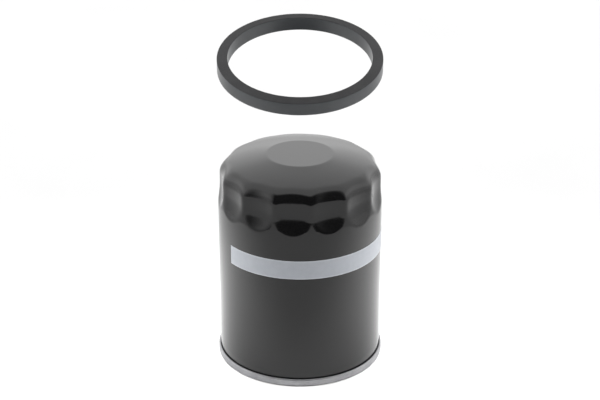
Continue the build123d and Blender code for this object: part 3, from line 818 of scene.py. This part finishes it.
def dress_cad_nodes():
    """Give every CAD node the procedural material of its slot."""
    slots = {row["node"]: row["material_slot"] for row in frame["record"]["subparts"]}
    for name, node in frame["nodes"].items():
        node.data.materials.clear()
        node.data.materials.append(materials[slots[name]])


def build_pieces():
    """All the pieces, each on its body."""
    dress(make_can(), "black_paint", "shell", "can")
    dress(make_seam(), "bare_seam_steel", "shell", "seam_cover")
    gasket = dress(make_gasket(), "black_rubber", "gasket", "sealing_gasket")
    gasket.visible_glossy = False
    dress(make_label(), "grey_label", "shell", "label_strip")
    dress(make_base_plate(), "plate_steel", "shell", "threaded_base_plate")
    dress(make_welds(), "weld_steel", "shell", "spot_welds")
    dress(make_media(), "filter_paper", "element", "pleated_media")
    lower, upper = make_end_caps()
    dress(lower, "cap_steel", "element", "lower_end_cap")
    dress(upper, "cap_steel", "element", "upper_end_cap")
    root, skirt = make_anti_drain()
    dress(root, "silicone", "shell")
    dress(skirt, "silicone", "shell", "anti_drain_valve")
    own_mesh(skirt)
    support = coil("support_spring", ELEMENT_TOP, SPRING_TOP,
                   SUPPORT_COIL_RADIUS, SUPPORT_WIRE_RADIUS, SUPPORT_TURNS)
    dress(support, "spring_steel", "shell", "element_spring")
    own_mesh(support)
    valve_spring = coil("valve_spring", CAGE_FLOOR, POPPET_UNDERSIDE,
                        VALVE_COIL_RADIUS, VALVE_WIRE_RADIUS, VALVE_TURNS)
    dress(valve_spring, "spring_steel", "element", "bypass_spring")
    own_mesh(valve_spring)


# ---------------------------------------------------------------- studio

TABLE_RADIUS = 900.0
TABLE_FRONT = 430.0
TABLE_EDGE = 4.0
TABLE_DROP = 0.02

# Strengths of the room's light, from the horizon to the ceiling, and of its dark front.
HORIZON_LIGHT = 1.5
WALL_LIGHT = 2.3
UPPER_LIGHT = 1.93
CEILING_LIGHT = 1.84
DARK_FRONT = 0.08
SEEN_WHITE = 1.05

# Where one strength changes to the next: the rise of a direction, 0 level and 1 overhead.
WALL_BAND = (0.02, 0.22)
UPPER_BAND = (0.42, 0.56)
CEILING_BAND = (0.75, 0.95)
DARK_TOP_BAND = (0.90, 0.75)
DARK_FOOT_BAND = (-0.30, -0.22)
# The same for turning to the front: 1 is straight back and -1 straight to the front.
DARK_SIDE_BAND = (-0.25, -0.75)

LAMP_SIZE = 0.06
SIDE_LAMP = (230, 0, 640)
SIDE_LAMP_AIM = (105, 4, 0)
SIDE_LAMP_CONE = math.radians(22.6)
SIDE_LAMP_POWER = 27.0
FRONT_LAMP = (500, -780, 330)
FRONT_LAMP_AIM = (0, 0, 110)
FRONT_LAMP_CONE = math.radians(30.0)
FRONT_LAMP_POWER = 2.8

CAMERA_DISTANCE = 800.0
CAMERA_ELEVATION = math.radians(24.53)
CAMERA_AIM_HEIGHT = 77.2
CAMERA_VIEW_WIDTH = 279.096
SENSOR_WIDTH = 36.0


def make_floor():
    """Plain pale round table, its edge out of the picture."""
    steps = 128
    table = [(60.0, 0.0), (200.0, 0.0), (500.0, 0.0), (TABLE_RADIUS - TABLE_EDGE, 0.0),
             (TABLE_RADIUS, -TABLE_EDGE)]
    rings = turned_rings(table, steps, TABLE_RADIUS - TABLE_FRONT, TURN / 4)
    rings[..., 2] -= TABLE_DROP
    index = np.arange(len(table) * steps).reshape(len(table), steps)
    faces = [index[0].tolist()]
    for here, out in zip(index[:-1], index[1:]):
        faces += np.stack([here, out, np.roll(out, -1), np.roll(here, -1)], axis=-1).tolist()
    floor = finish_mesh("studio_floor", rings.reshape(-1, 3), faces)
    pale = Shader("pale_floor")
    pale.set(Base_Color=pale.shades(pale.noise(8.0, detail=2.0), (0.80, 0.80, 0.80), (0.82, 0.82, 0.82)))
    pale.set(Roughness=0.9, Specular_IOR_Level=0.1)
    floor.data.materials.append(pale.material)
    if floor.data.polygons[0].normal.z < 0:
        floor.data.flip_normals()


def make_world():
    """Soft white room, dark at the front between the table and the ceiling; seen as plain white."""
    world = bpy.data.worlds.new("studio")
    bpy.context.scene.world = world
    world.use_nodes = True
    tree = world.node_tree
    tree.nodes.clear()

    def spread(value, low, high, out_low, out_high):
        made = tree.nodes.new("ShaderNodeMapRange")
        made.interpolation_type = "SMOOTHSTEP"
        for place, number in enumerate((low, high, out_low, out_high), start=1):
            made.inputs[place].default_value = number
        tree.links.new(value, made.inputs[0])
        return made.outputs[0]

    def maths(operation, first, second=0.0):
        made = tree.nodes.new("ShaderNodeMath")
        made.operation = operation
        for socket, value in zip(made.inputs, (first, second)):
            if isinstance(value, float):
                socket.default_value = value
            else:
                tree.links.new(value, socket)
        return made.outputs[0]

    direction = tree.nodes.new("ShaderNodeTexCoord").outputs["Generated"]
    split = tree.nodes.new("ShaderNodeSeparateXYZ")
    tree.links.new(direction, split.inputs[0])
    rise = split.outputs["Z"]
    level = maths("SQRT", maths("SUBTRACT", 1.0, maths("MULTIPLY", rise, rise)))
    backward = maths("DIVIDE", split.outputs["Y"], maths("MAXIMUM", level, 0.001))
    room = spread(rise, *WALL_BAND, HORIZON_LIGHT, WALL_LIGHT)
    room = maths("ADD", room, spread(rise, *UPPER_BAND, 0.0, UPPER_LIGHT - WALL_LIGHT))
    room = maths("ADD", room, spread(rise, *CEILING_BAND, 0.0, CEILING_LIGHT - UPPER_LIGHT))
    dark = spread(backward, *DARK_SIDE_BAND, 0.0, 1.0)
    dark = maths("MULTIPLY", dark, spread(rise, *DARK_TOP_BAND, 0.0, 1.0))
    dark = maths("MULTIPLY", dark, spread(rise, *DARK_FOOT_BAND, 0.0, 1.0))
    bright = maths("MULTIPLY", room, maths("SUBTRACT", 1.0, dark))
    strength = maths("ADD", bright, maths("MULTIPLY", dark, DARK_FRONT))
    light = tree.nodes.new("ShaderNodeBackground")
    tree.links.new(strength, light.inputs["Strength"])
    seen = tree.nodes.new("ShaderNodeBackground")
    seen.inputs["Strength"].default_value = SEEN_WHITE
    paths = tree.nodes.new("ShaderNodeLightPath")
    choice = tree.nodes.new("ShaderNodeMixShader")
    tree.links.new(paths.outputs["Is Camera Ray"], choice.inputs[0])
    tree.links.new(light.outputs[0], choice.inputs[1])
    tree.links.new(seen.outputs[0], choice.inputs[2])
    tree.links.new(choice.outputs[0], tree.nodes.new("ShaderNodeOutputWorld").inputs[0])


def spot_light(name, side, place, aim, cone, power):
    """A soft-edged spotlight; its places are in millimetres, mirrored for side -1."""
    mirror = Vector((side, 1, 1))
    start = Vector(place) * mirror
    data = bpy.data.lights.new(name, "SPOT")
    data.spot_size = cone
    data.spot_blend = 1.0
    data.shadow_soft_size = LAMP_SIZE
    data.energy = power
    lamp = bpy.data.objects.new(name, data)
    lamp.location = start * MM
    lamp.rotation_euler = (Vector(aim) * mirror - start).to_track_quat("-Z", "Y").to_euler()
    lamp.visible_glossy = False
    bpy.context.scene.collection.objects.link(lamp)


def make_lights():
    """Two lamps overhead that light the table beside the can, and two weak ones in front."""
    for side in (-1, 1):
        spot_light(f"side_lamp_{side + 1}", side, SIDE_LAMP, SIDE_LAMP_AIM, SIDE_LAMP_CONE, SIDE_LAMP_POWER)
        spot_light(f"front_lamp_{side + 1}", side, FRONT_LAMP, FRONT_LAMP_AIM, FRONT_LAMP_CONE,
                   FRONT_LAMP_POWER)


def make_camera():
    """Long lens from the front, looking down about 25 degrees."""
    data = bpy.data.cameras.new("camera")
    data.sensor_width = SENSOR_WIDTH
    data.lens = SENSOR_WIDTH * CAMERA_DISTANCE / CAMERA_VIEW_WIDTH
    data.clip_start = 0.05
    data.clip_end = 50.0
    camera = bpy.data.objects.new("camera", data)
    back = Vector((0.0, -math.cos(CAMERA_ELEVATION), math.sin(CAMERA_ELEVATION)))
    camera.location = (Vector((0.0, 0.0, CAMERA_AIM_HEIGHT)) + back * CAMERA_DISTANCE) * MM
    camera.rotation_euler = (-back).to_track_quat("-Z", "Y").to_euler()
    bpy.context.scene.collection.objects.link(camera)
    bpy.context.scene.camera = camera


bpy.context.scene.view_settings.view_transform = "Standard"
make_camera()
materials = make_materials()
dress_cad_nodes()
build_pieces()
make_floor()
make_world()
make_lights()
